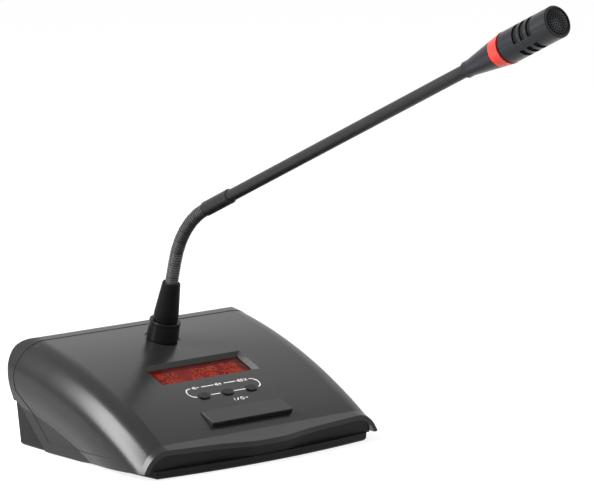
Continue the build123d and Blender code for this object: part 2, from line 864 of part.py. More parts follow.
# Speak bar
bar_slope = math.degrees(math.atan((bar_front_proud - bar_rear_proud) / bar_width))
bar_mid_proud = (bar_front_proud + bar_rear_proud) / 2
bar = pad(bar_length, bar_width, bar_corner, -flange_drop, bar_front_proud)
bar -= Pos(0, 0, bar_mid_proud) * Rot(-bar_slope, 0, 0) * box(2 * bar_length, 2 * bar_width, 0.0, over)
bar = chamfer(bar.faces().sort_by(Axis.Z)[-1].edges(), bar_edge)
bar += pad(
    bar_length + 2 * bar_lap,
    bar_width + 2 * bar_lap,
    bar_corner,
    -flange_drop - flange_thick,
    -flange_drop,
)
bar = Pos(0, bar_up, 0) * bar + rod(stem_radius, plunger_top, -flange_drop, 0.0, bar_up)
bar_plunger = rod(plunger_radius, switch_top - plunger_hidden, plunger_top, 0.0, bar_up)
write("speak_bar", at_controls * bar, at_controls * bar_plunger)

# Microphone socket in the shell
flange_bottom = socket_flange_top - socket_flange_thick
socket = turned(
    [
        (socket_bore_radius, socket_nose_top),
        (socket_nose_radius, socket_nose_top),
        (socket_nose_radius, socket_barrel_top),
        (socket_barrel_radius, socket_barrel_top),
        (socket_barrel_radius, socket_flange_top),
        (socket_flange_radius, socket_flange_top),
        (socket_flange_radius, flange_bottom),
        (socket_barrel_radius, flange_bottom),
        (socket_barrel_radius, socket_bottom),
        (0, socket_bottom),
        (0, socket_floor),
        (socket_bore_radius, socket_floor),
    ]
)
for x in (-socket_screw_x, socket_screw_x):
    socket -= rod(board_screw_radius + pin_gap, flange_bottom, socket_flange_top, x)
write("mic_socket", at_mic * socket)
socket_screw_head = socket_screw_x - socket_barrel_radius - pin_gap
socket_screw = screw_up(
    socket_screw_length - play, board_screw_radius, socket_screw_head, board_screw_head_height
)
write(
    "socket_screws",
    *[at_mic * Pos(x, 0, flange_bottom) * socket_screw for x in (-socket_screw_x, socket_screw_x)],
)
contact_places = []
for step in range(contact_count):
    turn = 2 * math.pi * step / contact_count + math.pi / 2
    contact_places.append((contact_circle * math.cos(turn), contact_circle * math.sin(turn)))
insert = rod(socket_bore_radius - pin_gap, socket_floor, socket_floor + insert_length)
contacts = []
for x, y in contact_places:
    insert -= rod(contact_radius + pin_gap, socket_floor, socket_floor + insert_length, x, y)
    contact = rod(contact_radius, socket_floor, socket_floor + contact_length, x, y)
    contact -= rod(pin_radius + pin_gap, socket_floor, socket_floor + contact_length, x, y)
    contacts.append(at_mic * contact)
write("socket_insert", at_mic * insert)
write("socket_contacts", *contacts)

# Plug on the microphone, with its lock collar and boot
neck_bore = neck_core_radius + pin_gap
plug = turned(
    [
        (plug_bore_radius, plug_bottom),
        (plug_radius, plug_bottom),
        (plug_radius, plug_flange_bottom),
        (plug_flange_radius, plug_flange_bottom),
        (plug_flange_radius, plug_flange_top),
        (plug_neck_radius, plug_flange_top),
        (plug_neck_radius, boot_bottom),
        (plug_stub_radius, boot_bottom),
        (plug_stub_radius, plug_stub_top),
        (neck_bore, plug_stub_top),
        (neck_bore, plug_block_top),
        (plug_bore_radius, plug_block_top),
    ]
)
write("plug_housing", at_mic * plug)
plug_block = rod(plug_bore_radius - pin_gap, plug_block_bottom, plug_block_top)
plug_pins = []
for x, y in contact_places:
    plug_block -= rod(pin_radius + pin_gap, plug_block_bottom, plug_block_top, x, y)
    plug_pins.append(at_mic * rod(pin_radius, pin_tip, plug_block_top, x, y))
write("plug_block", at_mic * plug_block)
write("plug_pins", *plug_pins)
collar = turned(
    [
        (collar_bore_radius, collar_bottom),
        (collar_radius - collar_edge, collar_bottom),
        (collar_radius, collar_bottom + collar_edge),
        (collar_waist_radius, collar_top - collar_lip_height),
        (collar_lip_radius, collar_top - collar_lip_height + collar_edge),
        (collar_lip_radius, collar_top - collar_edge),
        (collar_lip_radius - collar_edge, collar_top),
        (plug_neck_radius + 2 * pin_gap, collar_top),
        (plug_neck_radius + 2 * pin_gap, collar_top - collar_roof),
        (collar_bore_radius, collar_top - collar_roof),
    ]
)
write("lock_collar", at_mic * collar)
boot = turned(
    [
        (plug_stub_radius + pin_gap, boot_bottom),
        (boot_radius, boot_bottom),
        (boot_radius, boot_bottom + boot_shoulder),
        (boot_top_radius, boot_top - boot_edge),
        (boot_top_radius - boot_edge, boot_top),
        (boot_mouth_radius, boot_top),
        (boot_mouth_radius, boot_top - boot_mouth_depth),
        (neck_bore, boot_top - boot_mouth_depth),
        (neck_bore, plug_stub_top + pin_gap),
        (plug_stub_radius + pin_gap, plug_stub_top + pin_gap),
    ]
)
write("boot", at_mic * boot)

# Gooseneck: joints along a straight run and one bend in the side view
bend_angle = arm_lean - mic_lean
bend_length = bend_radius * math.radians(bend_angle)
joint_pitch = (neck_straight + bend_length - first_joint) / (joint_count - 1)
mic_point = Vector(0, mic_y, top_at(mic_y))
mic_way = Vector(*mic_axis)


def way(angle):
    """The direction at a lean from upright towards the user."""
    return Vector(0, -math.sin(math.radians(angle)), math.cos(math.radians(angle)))


def neck_point(run):
    """The place on the gooseneck's centre line, from the boot's mouth."""
    start = mic_point + mic_way * boot_top
    if run <= neck_straight:
        return start + mic_way * run
    turn = math.degrees((run - neck_straight) / bend_radius)
    half = math.radians(turn / 2)
    chord = 2 * bend_radius * math.sin(half)
    return start + mic_way * neck_straight + way(mic_lean + turn / 2) * chord


joints = [neck_point(first_joint + step * joint_pitch) for step in range(joint_count)]
ways = [mic_way]
for low, high in zip(joints, joints[1:]):
    ways.append((high - low).normalized())
ways.append(way(arm_lean))


def frame_at(point, direction):
    """A location with its Z along a direction and its X across the unit."""
    return Location(Plane(origin=tuple(point), x_dir=(1, 0, 0), z_dir=tuple(direction)))


def ribbed(low, high):
    """A ribbed rod between two heights, its ribs evenly spaced."""
    count = max(1, round((high - low) / rib_pitch))
    pitch = (high - low) / count
    body = rod(neck_core_radius, low, high)
    for step in range(count):
        middle = low + (step + 1 / 2) * pitch
        body += rod(neck_radius, middle - rib_width / 2, middle + rib_width / 2)
    return body


neck_clear = neck_radius * 4


def beyond(point, direction):
    """What lies past a joint's lower face, as a block square to a direction."""
    return frame_at(point, direction) * box(neck_clear, neck_clear, -joint_gap / 2, neck_clear)


def before(point, direction):
    """What lies short of a joint's upper face, as a block square to a direction."""
    return frame_at(point, direction) * box(neck_clear, neck_clear, -neck_clear, joint_gap / 2)


faces = [((low + high) / 2).normalized() for low, high in zip(ways, ways[1:])]
ball = Sphere(ball_radius)
cup = Sphere(ball_radius + pin_gap)

root = at_mic * rod(neck_core_radius, neck_seat, boot_top - boot_mouth_depth)
root += at_mic * ribbed(boot_top - boot_mouth_depth, boot_top + first_joint)
root -= beyond(joints[0], faces[0])
root -= frame_at(joints[0], faces[0]) * cup
write("neck_root", root)
for step in range(joint_count - 1):
    start = joints[step]
    end = joints[step + 1]
    link = frame_at(start, ways[step + 1]) * ribbed(0.0, (end - start).length)
    link -= before(start, faces[step])
    link -= beyond(end, faces[step + 1])
    link -= frame_at(end, faces[step + 1]) * cup
    link += frame_at(start, ways[step + 1]) * ball
    write(f"neck_link_{step + 1}", link)

# Arm
at_arm = frame_at(joints[-1], ways[-1])
ferrule = turned(
    [
        (0, 0),
        (ferrule_radius - ferrule_edge, 0),
        (ferrule_radius, ferrule_edge),
        (ferrule_radius, ferrule_length - ferrule_edge),
        (ferrule_radius - ferrule_edge, ferrule_length),
        (tube_radius + pin_gap, ferrule_length),
        (tube_radius + pin_gap, tube_start),
        (0, tube_start),
    ]
)
ferrule = at_arm * ferrule - before(joints[-1], faces[-1])
ferrule += at_arm * ball
write("ferrule", ferrule)
tube_end = arm_length + tube_in_cone
arm_tube = rod(tube_radius, tube_start, tube_end) - rod(tube_bore_radius, tube_start, tube_end)
write("arm_tube", at_arm * arm_tube)

# Head: cone, light ring with its lamps, slotted capsule housing, capsule and grille
cone_end = arm_length + cone_length
cone = turned(
    [
        (tube_radius + pin_gap, arm_length),
        (cone_foot_radius, arm_length),
        (cone_foot_radius, arm_length + cone_foot_length),
        (cone_end_radius, cone_end),
        (spine_radius + pin_gap, cone_end),
        (spine_radius + pin_gap, cone_end - spine_lap),
        (tube_bore_radius, cone_end - spine_lap),
        (tube_bore_radius, tube_end),
        (tube_radius + pin_gap, tube_end),
    ]
)
write("head_cone", at_arm * cone)
ring_end = cone_end + ring_length
ring = turned(
    [
        (cone_end_radius - ring_wall, cone_end),
        (cone_end_radius, cone_end),
        (ring_end_radius, ring_end),
        (cone_end_radius - ring_wall, ring_end),
    ]
)
write("light_ring", at_arm * ring)
lamp_z = cone_end + (ring_length - lamp_board_thick) / 2
lamp_board = rod(cone_end_radius - ring_wall - pin_gap, lamp_z, lamp_z + lamp_board_thick)
lamp_board -= rod(spine_radius + pin_gap, lamp_z, lamp_z + lamp_board_thick)
lamps = []
lamp_low = lamp_z + lamp_board_thick
for step in range(lamp_count):
    lamp = box(lamp_size, lamp_size, lamp_low, lamp_low + lamp_height, lamp_circle)
    lamps.append(at_arm * Rot(0, 0, step * 360 / lamp_count) * lamp)
write("lamp_board", at_arm * lamp_board)
write("lamps", *lamps)
head_end = ring_end + head_length
floor_end = ring_end + groove_length + head_floor
spine_low = cone_end - spine_lap
spine = rod(spine_radius, spine_low, floor_end) - rod(spine_bore_radius, spine_low, floor_end)
write("head_spine", at_arm * spine)
head_start = ring_end + groove_length
bore = head_radius - head_wall
head = turned(
    [
        (spine_radius + pin_gap, ring_end),
        (groove_radius, ring_end),
        (groove_radius, head_start),
        (head_radius - head_edge, head_start),
        (head_radius, head_start + head_edge),
        (head_radius, head_end - head_edge),
        (head_radius - head_edge, head_end),
        (bore - bezel_lip, head_end),
        (bore - bezel_lip, head_end - bezel_depth),
        (bore, head_end - bezel_depth),
        (bore, floor_end),
        (spine_radius + pin_gap, floor_end),
    ]
)
wedge_reach = head_radius * 2
for row in range(slot_count):
    middle = ring_end + slot_middle + (row - (slot_count - 1) / 2) * slot_pitch
    for arc in range(slot_arcs):
        begin = slot_turn + arc * 360 / slot_arcs
        slot = CenterArc((0, 0), wedge_reach, begin, slot_angle)
        wedge = make_face([Line((0, 0), slot @ 0), slot, Line(slot @ 1, (0, 0))])
        cut = extrude(wedge, slot_width) - rod(bore - pin_gap, 0.0, slot_width)
        head -= Pos(0, 0, middle - slot_width / 2) * cut
write("capsule_housing", at_arm * head)
holder_end = head_end - holder_from_face + holder_length
holder = rod(holder_radius, holder_end - holder_length, holder_end)
holder -= rod(capsule_radius + pin_gap, holder_end - holder_length, holder_end)
write("capsule_holder", at_arm * holder)
write("capsule", at_arm * rod(capsule_radius, holder_end - capsule_length, holder_end))
foam_low = head_end - foam_from_face
write("foam_disc", at_arm * rod(bore - pin_gap, foam_low, foam_low + foam_length))
grille_z = head_end - bezel_depth - grille_thick
crown_half = bore - grille_rim - bezel_lip
crown_radius = (crown_half ** 2 + grille_crown ** 2) / (2 * grille_crown)
dome_mid_z = grille_z + grille_crown - crown_radius
sphere_out = Pos(0, 0, dome_mid_z + grille_thick) * Sphere(crown_radius)
sphere_in = Pos(0, 0, dome_mid_z) * Sphere(crown_radius)
dome_cap = sphere_out & rod(crown_half, grille_z, grille_z + grille_crown + grille_thick)
grille = dome_cap - sphere_in
rim_top = grille_z + grille_thick
grille += rod(bore - pin_gap, grille_z, rim_top) - rod(crown_half, grille_z, rim_top)
for ring_step in range(grille_rings + 1):
    count = max(1, ring_step * 6)
    for step in range(count):
        turn = 2 * math.pi * step / count
        x = ring_step * grille_ring_pitch * math.cos(turn)
        y = ring_step * grille_ring_pitch * math.sin(turn)
        if ring_step * grille_ring_pitch + grille_hole_radius < crown_half:
            grille -= rod(grille_hole_radius, grille_z, grille_z + 2 * grille_crown, x, y)
write("grille", at_arm * grille)
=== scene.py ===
import json
import math

import bmesh
import bpy
from mathutils import Matrix, Vector
from mathutils.bvhtree import BVHTree


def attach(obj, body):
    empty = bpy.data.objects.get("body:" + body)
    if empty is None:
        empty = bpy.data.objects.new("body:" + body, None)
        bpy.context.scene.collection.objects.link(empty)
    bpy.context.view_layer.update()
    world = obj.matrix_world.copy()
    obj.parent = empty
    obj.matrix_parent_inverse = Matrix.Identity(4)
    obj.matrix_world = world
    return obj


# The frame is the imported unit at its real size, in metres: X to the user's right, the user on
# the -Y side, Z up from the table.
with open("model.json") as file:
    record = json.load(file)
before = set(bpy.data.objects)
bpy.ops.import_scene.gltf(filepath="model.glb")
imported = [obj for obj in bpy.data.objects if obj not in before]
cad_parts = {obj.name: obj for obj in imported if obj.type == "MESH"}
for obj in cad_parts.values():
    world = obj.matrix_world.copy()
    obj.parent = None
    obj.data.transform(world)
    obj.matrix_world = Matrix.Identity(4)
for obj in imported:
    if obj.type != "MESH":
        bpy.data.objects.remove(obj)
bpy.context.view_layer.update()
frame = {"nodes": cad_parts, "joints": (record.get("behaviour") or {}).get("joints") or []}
nodes = frame["nodes"]
mm = 0.001

# View: the camera that a fit of the case's corners to the photograph gave, at the
# photograph's azimuth and elevation, with a long lens from about 2.4 m away.
view_azimuth = math.radians(-40.72)
view_elevation = math.radians(9.85)
view_target = Vector((46.6, -40.8, 120.9)) * mm
view_distance = 2424 * mm
focal_pixels = 4000
photo_width = 594
sensor_width = 36
clip_end = 50
back = Vector((
    math.sin(view_azimuth) * math.cos(view_elevation),
    -math.cos(view_azimuth) * math.cos(view_elevation),
    math.sin(view_elevation),
))
camera_data = bpy.data.cameras.new("camera")
camera_data.sensor_width = sensor_width
camera_data.lens = focal_pixels / photo_width * sensor_width
camera_data.clip_end = clip_end
camera = bpy.data.objects.new("camera", camera_data)
camera.location = view_target + back * view_distance
camera.rotation_euler = (-back).to_track_quat("-Z", "Y").to_euler()
bpy.context.scene.collection.objects.link(camera)
bpy.context.scene.camera = camera
bpy.context.scene.view_settings.view_transform = "Standard"

# Studio: a white floor and air, as the camera, gloss and glass see them, round a room lit at a
# plain level. The softboxes are of the kind that give a dark satin case one broad highlight
# along its rolled edge and an even grey on its top.
floor_half = 15
floor_grey = 0.35
floor_roughness = 0.9
floor_specular = 0.1
floor_glow = 0.82
room_grey = 0.38
white = (1, 1, 1, 1)


def new_material(name):
    """A node material, its tree and its Principled shader."""
    material = bpy.data.materials.new(name)
    material.use_nodes = True
    return material, material.node_tree, material.node_tree.nodes["Principled BSDF"]


def softbox(name, place, target, width, height, power):
    """A rectangular area light that faces a target."""
    data = bpy.data.lights.new(name, "AREA")
    data.shape = "RECTANGLE"
    data.size = width
    data.size_y = height
    data.energy = power
    lamp = bpy.data.objects.new(name, data)
    lamp.location = place
    lamp.rotation_euler = (Vector(target) - Vector(place)).to_track_quat("-Z", "Y").to_euler()
    bpy.context.scene.collection.objects.link(lamp)


def lit_or_seen(tree, lit, seen, output):
    """Shows one shader to camera, glossy and glass rays, and lights the room with another."""
    path = tree.nodes.new("ShaderNodeLightPath")
    shown = path.outputs["Is Camera Ray"]
    for kind in ("Is Glossy Ray", "Is Transmission Ray"):
        join = tree.nodes.new("ShaderNodeMath")
        join.operation = "MAXIMUM"
        tree.links.new(shown, join.inputs[0])
        tree.links.new(path.outputs[kind], join.inputs[1])
        shown = join.outputs[0]
    choice = tree.nodes.new("ShaderNodeMixShader")
    tree.links.new(shown, choice.inputs["Fac"])
    tree.links.new(lit, choice.inputs[1])
    tree.links.new(seen, choice.inputs[2])
    tree.links.new(choice.outputs["Shader"], tree.nodes[output].inputs["Surface"])


world = bpy.data.worlds.new("studio_air")
bpy.context.scene.world = world
world.use_nodes = True
tree = world.node_tree
room_light = tree.nodes["Background"]
room_light.inputs["Color"].default_value = (room_grey, room_grey, room_grey, 1)
seen_light = tree.nodes.new("ShaderNodeBackground")
seen_light.inputs["Color"].default_value = white
lit_or_seen(tree, room_light.outputs["Background"], seen_light.outputs["Background"],
            "World Output")

floor_mesh = bpy.data.meshes.new("floor")
floor_mesh.from_pydata(
    [(-floor_half, -floor_half, 0), (floor_half, -floor_half, 0),
     (floor_half, floor_half, 0), (-floor_half, floor_half, 0)],
    [], [(0, 1, 2, 3)],
)
floor = bpy.data.objects.new("floor", floor_mesh)
bpy.context.scene.collection.objects.link(floor)
floor_white, tree, shader = new_material("floor_white")
shader.inputs["Base Color"].default_value = (floor_grey, floor_grey, floor_grey, 1)
shader.inputs["Roughness"].default_value = floor_roughness
shader.inputs["Specular IOR Level"].default_value = floor_specular
glow = tree.nodes.new("ShaderNodeEmission")
glow.inputs["Color"].default_value = white
glow.inputs["Strength"].default_value = floor_glow
both = tree.nodes.new("ShaderNodeAddShader")
tree.links.new(shader.outputs["BSDF"], both.inputs[0])
tree.links.new(glow.outputs["Emission"], both.inputs[1])
lit_or_seen(tree, shader.outputs["BSDF"], both.outputs["Shader"], "Material Output")
floor_mesh.materials.append(floor_white)

softbox(
    "overhead", place=(0.92, 0.60, 0.93), target=(0, 0, 0.05), width=0.9, height=0.8, power=1.2
)
softbox(
    "roll_box", place=(-0.70, 0.225, 0.59), target=(-0.09, -0.05, 0.02), width=0.28, height=0.80,
    power=21,
)
softbox("front_fill", place=(0.9, -1.7, 1.0), target=(0, 0, 0.08), width=1, height=1, power=8)

# Bottom housing: one ABS moulding, matt black with a fine spark-eroded grain, that carries
# everything and closes the arch below the lip of the top shell.
mottle_scale = 55
mottle_ends = (0.3, 0.7)
gloss_spread = 0.08
grain_strength = 0.35


def noise(tree, scale, detail=2):
    """A noise texture's value, in the piece's own coordinates."""
    place = tree.nodes.new("ShaderNodeTexCoord")
    cloud = tree.nodes.new("ShaderNodeTexNoise")
    cloud.inputs["Scale"].default_value = scale
    cloud.inputs["Detail"].default_value = detail
    tree.links.new(place.outputs["Object"], cloud.inputs["Vector"])
    return cloud.outputs["Fac"]


def tinted(tree, value, low, high, ends=(0, 1)):
    """A colour between two, from a value between two ends."""
    ramp = tree.nodes.new("ShaderNodeValToRGB")
    for element, color, end in zip(ramp.color_ramp.elements, (low, high), ends):
        element.position = end
        element.color = (*color, 1)
    tree.links.new(value, ramp.inputs["Fac"])
    return ramp.outputs["Color"]


def glossed(tree, shader, value, low, high):
    """Gives a shader a roughness between two, from a value."""
    gloss = tree.nodes.new("ShaderNodeMapRange")
    gloss.inputs["To Min"].default_value = low
    gloss.inputs["To Max"].default_value = high
    tree.links.new(value, gloss.inputs["Value"])
    tree.links.new(gloss.outputs["Result"], shader.inputs["Roughness"])


def bumped(tree, shader, value, strength, depth):
    """Gives a shader a relief of some depth in metres, from a value."""
    bump = tree.nodes.new("ShaderNodeBump")
    bump.inputs["Strength"].default_value = strength
    bump.inputs["Distance"].default_value = depth
    tree.links.new(value, bump.inputs["Height"])
    tree.links.new(bump.outputs["Normal"], shader.inputs["Normal"])


def scaled(color, share):
    """A colour times a share, at most 1."""
    return [min(1, part * share) for part in color]


def moulded(name, color, roughness, grain, depth, mottle=0.12, specular=0.5):
    """Moulded plastic or lacquer: a faint mottle of colour and gloss, and an eroded grain."""
    material, tree, shader = new_material(name)
    cloud = noise(tree, mottle_scale, detail=5)
    tint = tinted(tree, cloud, scaled(color, 1 - mottle), scaled(color, 1 + mottle), mottle_ends)
    tree.links.new(tint, shader.inputs["Base Color"])
    glossed(tree, shader, cloud, roughness * (1 - gloss_spread), roughness * (1 + gloss_spread))
    bumped(tree, shader, noise(tree, grain, detail=3), grain_strength, depth)
    shader.inputs["Specular IOR Level"].default_value = specular
    return material


def dress(material, *names):
    """Gives CAD nodes their finish."""
    for name in names:
        slots = nodes[name].data.materials
        slots.clear()
        slots.append(material)


housing_black = moulded(
    "housing_black", (0.0100, 0.0100, 0.0104), 0.45, 2600, 0.00004, specular=0.10
)
dress(housing_black, "bottom_housing")

# Feet: four discs of black rubber with a dull skin, pressed into pockets under the housing's
# corners and standing half a millimetre proud.
foot_rubber = moulded("foot_rubber", (0.016, 0.016, 0.016), 0.75, 3200, 0.00003)
dress(foot_rubber, "feet")

# Screws and pillars: zinc plated steel with a faint cloudy lustre. They hold the shell, the
# ballast plate, the boards, the rear panel, the display and the microphone's socket.
metal_dark = 0.85
metal_light = 1.12
metal_smooth = 0.8
metal_rough = 1.25
metal_strength = 0.3


def metal(name, color, roughness, grain=900, depth=0.00001, metallic=1.0):
    """Metal with a cloudy lustre and a little tooling grain."""
    material, tree, shader = new_material(name)
    cloud = noise(tree, grain, detail=4)
    tint = tinted(tree, cloud, scaled(color, metal_dark), scaled(color, metal_light))
    tree.links.new(tint, shader.inputs["Base Color"])
    glossed(tree, shader, cloud, roughness * metal_smooth, roughness * metal_rough)
    bumped(tree, shader, cloud, metal_strength, depth)
    shader.inputs["Metallic"].default_value = metallic
    return material


zinc = metal("zinc", (0.62, 0.63, 0.65), 0.35)
dress(zinc, "case_screws", "ballast_screws", "board_pillars", "board_screws", "panel_screws",
      "display_screws", "control_screws", "socket_screws")

# Ballast plate: hot rolled steel strip, sawn to length and left with its dark rolling skin,
# held to the housing's floor by four screws.
rolled_steel = metal("rolled_steel", (0.23, 0.22, 0.215), 0.55, grain=420, depth=0.00004)
dress(rolled_steel, "ballast_plate")

# Main, display, control and lamp boards: fibreglass panels under a green solder mask, with the
# copper's lines below it. Three are screwed down, and the lamps' own sits round the spine.
track_scale = 130
track_gap = 0.03
track_width = 0.9
track_contrast = 1.25
track_depth = 0.00003
track_strength = 0.4
mask_wave = 700
mask_gloss = (0.25, 0.40)


def circuit(name, mask, copper):
    """A board's solder mask with the lighter lines of the copper below it."""
    material, tree, shader = new_material(name)
    place = tree.nodes.new("ShaderNodeTexCoord")
    tracks = tree.nodes.new("ShaderNodeTexBrick")
    tracks.inputs["Color1"].default_value = (*mask, 1)
    tracks.inputs["Color2"].default_value = (*scaled(mask, track_contrast), 1)
    tracks.inputs["Mortar"].default_value = (*copper, 1)
    tracks.inputs["Scale"].default_value = track_scale
    tracks.inputs["Mortar Size"].default_value = track_gap
    tracks.inputs["Brick Width"].default_value = track_width
    tree.links.new(place.outputs["Object"], tracks.inputs["Vector"])
    tree.links.new(tracks.outputs["Color"], shader.inputs["Base Color"])
    glossed(tree, shader, noise(tree, mask_wave), *mask_gloss)
    bumped(tree, shader, tracks.outputs["Fac"], track_strength, track_depth)
    return material


mask_green = circuit("mask_green", (0.012, 0.11, 0.035), (0.03, 0.20, 0.07))
dress(mask_green, "main_board", "display_board", "control_board", "lamp_board")

# Chips, header and switches on the boards: moulded in black epoxy and nylon with a fine matt
# skin, soldered down by their legs.
epoxy_black = moulded("epoxy_black", (0.018, 0.018, 0.019), 0.55, 5200, 0.00002)
dress(epoxy_black, "board_chips", "control_switches")

# Capacitors: aluminium cans in dark blue shrink sleeves with a soft shine, which stand on the
# main board, soldered by their two wires.
sleeve_blue = moulded("sleeve_blue", (0.020, 0.028, 0.085), 0.30, 900, 0.00002)
dress(sleeve_blue, "board_capacitors")

# Rear panel: folded steel sheet under a black powder coat, which leaves a fine orange-peel
# relief. Two screws hold it in the housing's rear wall.
powder_black = moulded("powder_black", (0.020, 0.020, 0.020), 0.60, 1700, 0.00007)
dress(powder_black, "rear_panel")

# Link sockets: nickel plated shells put through the rear panel from outside, each with a black
# insert and gold plated pins.
nickel = metal("nickel", (0.60, 0.57, 0.52), 0.25, grain=700)
insert_black = moulded("insert_black", (0.016, 0.016, 0.016), 0.45, 3600, 0.00002)
gold = metal("gold", (0.83, 0.60, 0.25), 0.22, grain=1500)
dress(nickel, "link_socket_shells")
dress(insert_black, "link_socket_inserts")
dress(gold, "link_socket_pins")

# Earphone jack: one body of black nylon with a slight shine, behind the rear panel between the
# link sockets, with its nose out through the panel.
nylon_black = moulded("nylon_black", (0.020, 0.020, 0.021), 0.42, 3000, 0.00002)
dress(nylon_black, "earphone_jack")

# Display module: a black lacquered steel frame over the glass and its light guide. The glass
# shows its field through the frame's opening, lit from behind in a cloudy red.
cloud_ends = (0.36, 0.64)
frame_black = moulded("frame_black", (0.010, 0.010, 0.010), 0.42, 2600, 0.00001)
dress(frame_black, "display_frame")


def glowing(name, low, high, strength, scale, roughness=0.2, specular=0.5):
    """A surface that gives light of its own, cloudy between two colours."""
    material, tree, shader = new_material(name)
    tint = tinted(tree, noise(tree, scale, detail=3), low, high, cloud_ends)
    tree.links.new(tint, shader.inputs["Base Color"])
    tree.links.new(tint, shader.inputs["Emission Color"])
    shader.inputs["Emission Strength"].default_value = strength
    shader.inputs["Roughness"].default_value = roughness
    shader.inputs["Specular IOR Level"].default_value = specular
    return material


lit_field = glowing("lit_field", (0.13, 0.006, 0.003), (0.40, 0.028, 0.009), 0.36, 130, 0.6, 0.0)
light_guide = glowing("light_guide", (0.70, 0.12, 0.06), (0.85, 0.18, 0.09), 0.15, 60)
dress(lit_field, "display_glass")
dress(light_guide, "display_backlight")

# Display characters: two rows of plain digits, each a block of 5 by 7 square dots, formed on
# top of the glass and lit with it. The dots' sizes and places are in millimetres, on a plane
# that touches the shell's slope, which is one arc in the side view.
slope_middle = Vector((0, 113.862, -248.949)) * mm
slope_radius = 320 * mm
display_y = -5.7 * mm
dot_rows = {
    "0": (14, 17, 19, 21, 25, 17, 14), "1": (4, 12, 4, 4, 4, 4, 14),
    "2": (14, 17, 1, 2, 4, 8, 31), "3": (31, 2, 4, 2, 1, 17, 14),
    "4": (2, 6, 10, 18, 31, 2, 2), "5": (31, 16, 30, 1, 1, 17, 14),
    "6": (6, 8, 16, 30, 17, 17, 14), "7": (31, 1, 2, 4, 8, 8, 8),
    "8": (14, 17, 17, 14, 17, 17, 14), "9": (14, 17, 17, 15, 1, 2, 12),
    ":": (0, 12, 12, 0, 12, 12, 0), "-": (0, 0, 0, 31, 0, 0, 0), " ": (0,) * 7,
}
display_texts = ("0-16   12:45 3:0", "-08-  64 20 7:50")
dot_columns = 5
dot_size = 0.64
dot_pitch = 0.72
dot_line_pitch = 0.756
glass_top = -4.6
dot_low = glass_top + 0.03
dot_high = glass_top + 0.08
sign_pitch = 3.85
row_pitch = 6.5
text_left = -30.6
text_top = 6.0


def slope_turn(y):
    """How far the slope leans towards the user, at a distance behind the case's middle."""
    return math.asin((slope_middle.y - y) / slope_radius)


def leaning(turn):
    """The upright way, leaned towards the user."""
    return Vector((0, -math.sin(turn), math.cos(turn)))


def leaned(middle, turn):
    """The place at a point whose own Z axis leans towards the user."""
    return Matrix.Translation(middle) @ Matrix.Rotation(turn, 4, "X")


def placed(name, shape):
    """A finished mesh as an object of the scene."""
    mesh = bpy.data.meshes.new(name)
    shape.to_mesh(mesh)
    shape.free()
    piece = bpy.data.objects.new(name, mesh)
    bpy.context.scene.collection.objects.link(piece)
    return piece


display_turn = slope_turn(display_y)
display_place = leaned(slope_middle + leaning(display_turn) * slope_radius, display_turn)


def dot(shape, x, y):
    """Adds one closed dot, from its left and upper sides."""
    low = Vector((x, y - dot_size, dot_low)) * mm
    high = Vector((x + dot_size, y, dot_high)) * mm
    size = high - low
    for vert in bmesh.ops.create_cube(shape, size=1)["verts"]:
        corner = Vector([part * length for part, length in zip(vert.co, size)])
        vert.co = display_place @ (corner + (low + high) / 2)


dots = bmesh.new()
for row, text in enumerate(display_texts):
    for column, sign in enumerate(text):
        for line, bits in enumerate(dot_rows[sign]):
            for bit in range(dot_columns):
                if bits >> (dot_columns - 1 - bit) & 1:
                    dot(dots, text_left + column * sign_pitch + bit * dot_pitch,
                        text_top - row * row_pitch - line * dot_line_pitch)
display_dots = placed("display_dots", dots)
lit_dots = glowing("lit_dots", (0.80, 0.08, 0.02), (0.90, 0.16, 0.04), 0.55, 300, 0.6, 0.0)
display_dots.data.materials.append(lit_dots)
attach(display_dots, "base")

# Display window: a plate of dark red polycarbonate, a little hazy, set in a pocket behind the
# shell's recess over the display's frame. It is seen through, so that the lit glass shows.
window_haze = 160
window_opacity = 0.42
window_roughness = 0.12
window_specular = 0.05
window_red, tree, shader = new_material("window_red")
tint = tinted(tree, noise(tree, window_haze), (0.085, 0.004, 0.003), (0.110, 0.006, 0.004))
tree.links.new(tint, shader.inputs["Base Color"])
shader.inputs["Alpha"].default_value = window_opacity
shader.inputs["Roughness"].default_value = window_roughness
shader.inputs["Specular IOR Level"].default_value = window_specular
dress(window_red, "display_window")

# Microphone socket: a black nylon body screwed up below the shell, with its insert and gold
# plated contacts. The plug's own block and pins are of the same kinds.
dress(nylon_black, "mic_socket")
dress(insert_black, "socket_insert", "plug_block")
dress(gold, "socket_contacts", "plug_pins")

# Keys: three black ovals with a fine grain, each moulded with its plunger and put up through
# its slot in the shell from behind.
key_black = moulded("key_black", (0.005, 0.005, 0.005), 0.40, 3000, 0.00002, specular=0.2)
dress(key_black, "left_key", "middle_key", "right_key")

# Speak bar: one ABS moulding in the shell's own grey, a little duller, put up through its
# opening from behind.
bar_grey = moulded(
    "bar_grey", (0.0150, 0.0147, 0.0145), 0.34, 2600, 0.00002, mottle=0.06, specular=0.15
)
dress(bar_grey, "speak_bar")

# Top shell: one ABS moulding in satin dark grey with an even fine grain, set over the housing
# and screwed down from below.
shell_grey = moulded(
    "shell_grey", (0.0140, 0.0137, 0.0135), 0.25, 2400, 0.00002, mottle=0.06, specular=0.22
)
dress(shell_grey, "top_shell")

